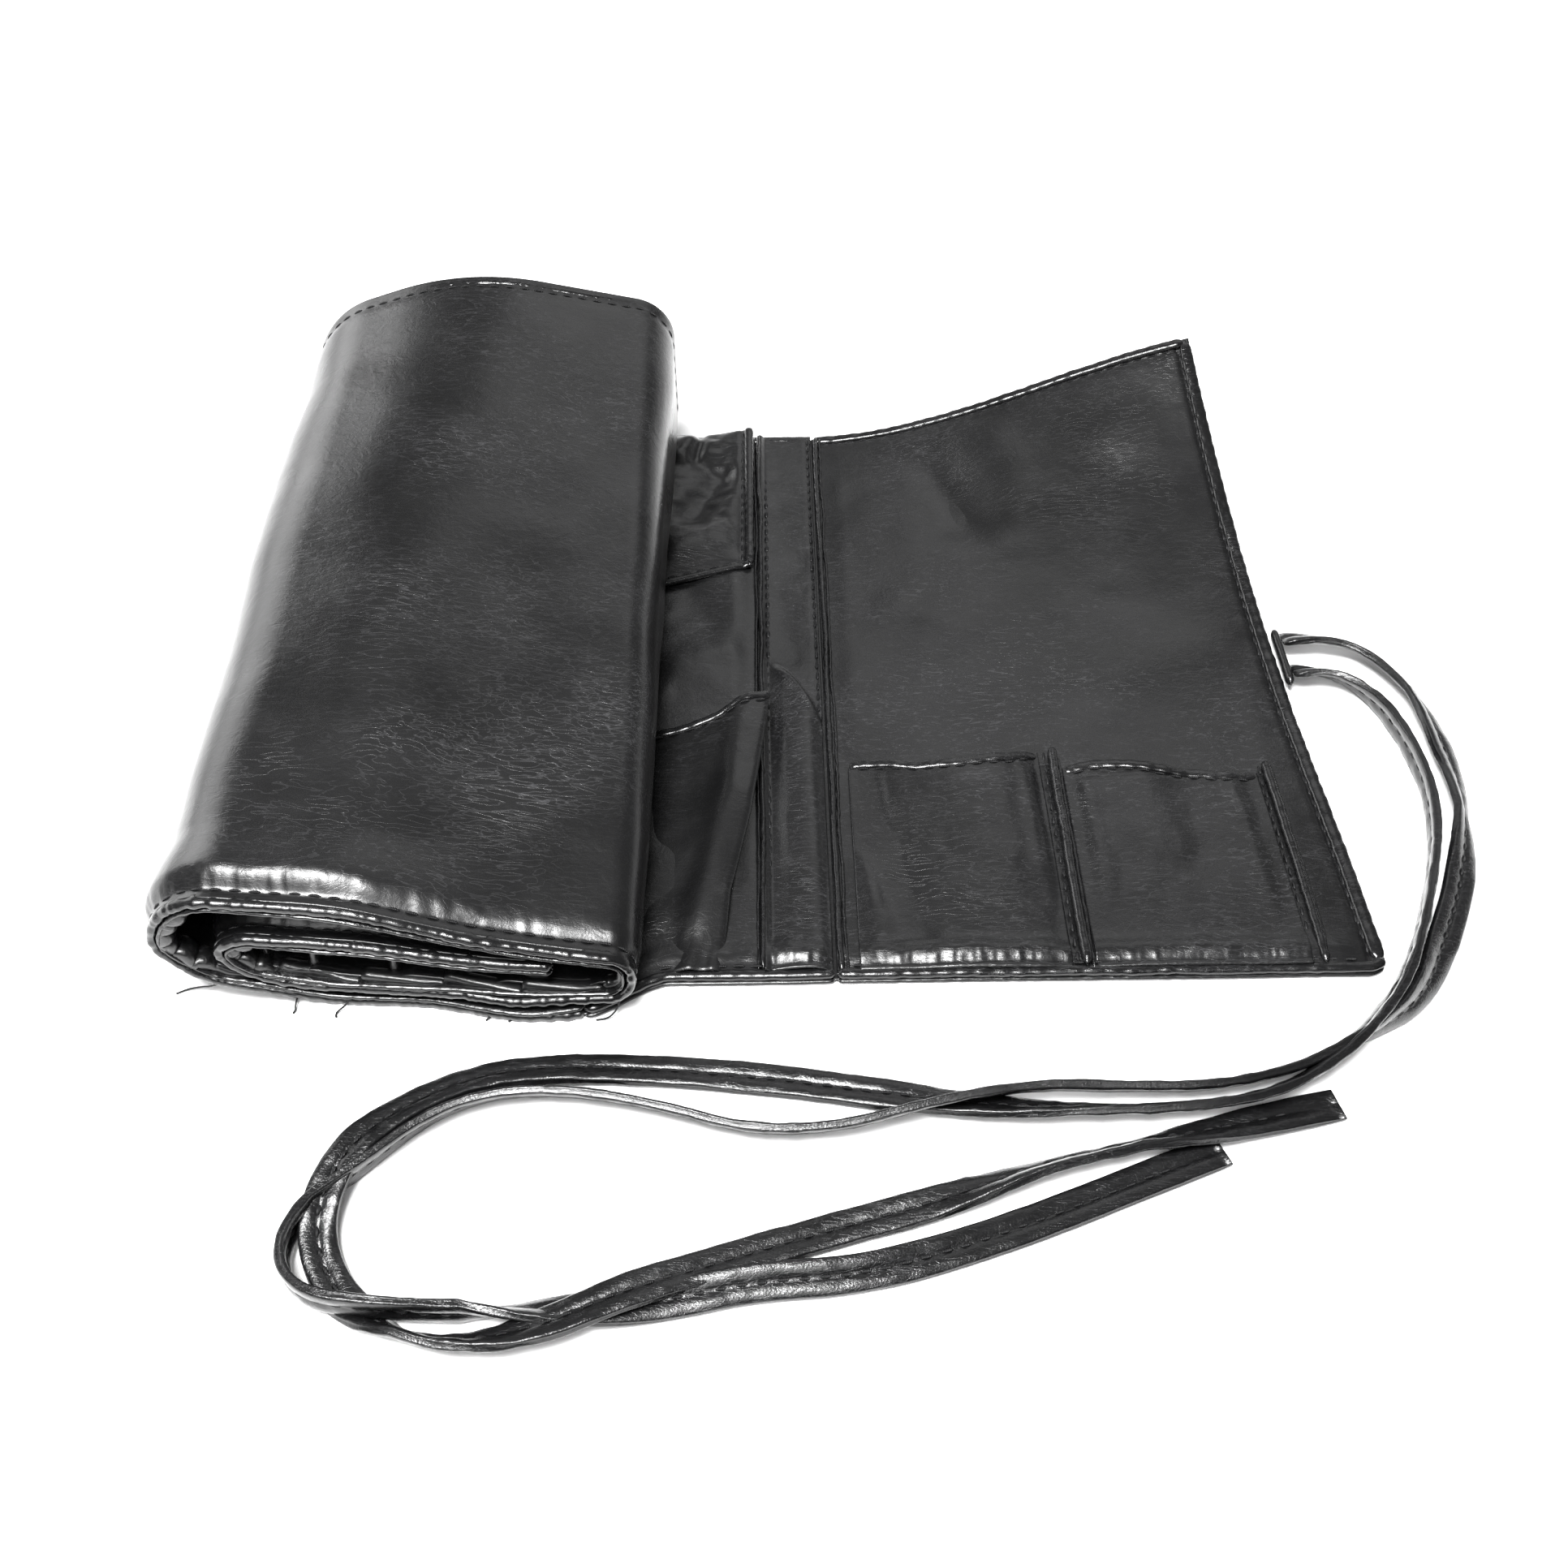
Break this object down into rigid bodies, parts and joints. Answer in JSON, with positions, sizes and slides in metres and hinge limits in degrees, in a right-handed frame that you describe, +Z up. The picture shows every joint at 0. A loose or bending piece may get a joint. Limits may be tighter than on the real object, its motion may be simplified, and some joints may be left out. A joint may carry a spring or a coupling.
{
  "type": "pencil case",
  "caption": "Soft black roll-up pencil case, half unrolled, with slip pockets, a dust flap over the pencil tips, a folding end flap and two flat tie straps.",
  "frame": {"origin": "on the table under the middle of the case, its two ties left out", "axes": "+X to the right along the open sheet from the roll to the tied end, +Y from the front rim to the back hem, +Z up from the table"},
  "size_m": [0.3061, 0.296, 0.0606],
  "materials": {
    "cover": "glossy soft faux leather",
    "lining": "semi-gloss creased faux leather",
    "panel": "semi-gloss creased faux leather",
    "binding": "glossy rolled edge",
    "tie": "glossy crinkled faux leather",
    "thread": "twisted polyester thread"
  },
  "bodies": {
    "middle": {"middle_cover": "cover", "middle_lining": "lining", "middle_front_rim": "binding", "middle_back_hem": "binding", "tall_pocket": "panel", "front_pocket": "panel", "strip": "panel", "strip_fold": "binding"},
    "end_flap": {"end_cover": "cover", "end_lining": "lining", "end_front_rim": "binding", "end_side_hem": "binding", "end_back_hem": "binding", "seam_fold": "binding", "pocket_a": "panel", "pocket_b": "panel", "pocket_divider_fold": "binding", "pocket_side_fold": "binding", "tie_tack": "tie", "rear_tie": "tie", "front_tie": "tie"},
    "roll": {"roll_cover": "cover", "roll_lining": "lining", "roll_tall_pocket": "panel", "roll_front_pocket": "panel", "roll_dust_flap": "panel", "roll_front_rim": "binding", "roll_back_hem": "binding"},
    "flap": {"dust_flap": "panel", "dust_flap_hem": "binding"}
  },
  "joints": [
    {"name": "end_fold", "type": "hinge", "parent": "middle", "child": "end_flap", "pos_m": [0.0115, 0, 0.003], "axis": [0, -1, 0], "range_deg": [0, 90]},
    {"name": "roll_up", "type": "hinge", "parent": "middle", "child": "roll", "pos_m": [-0.04925, -0.0025, 0.0205], "axis": [-0.0545, 0.9953, 0.0806], "range_deg": [0, 75]},
    {"name": "dust_flap_lift", "type": "hinge", "parent": "middle", "child": "flap", "pos_m": [-0.016, 0.1073, 0.0034], "axis": [-1, 0, 0], "range_deg": [0, 110]}
  ]
}
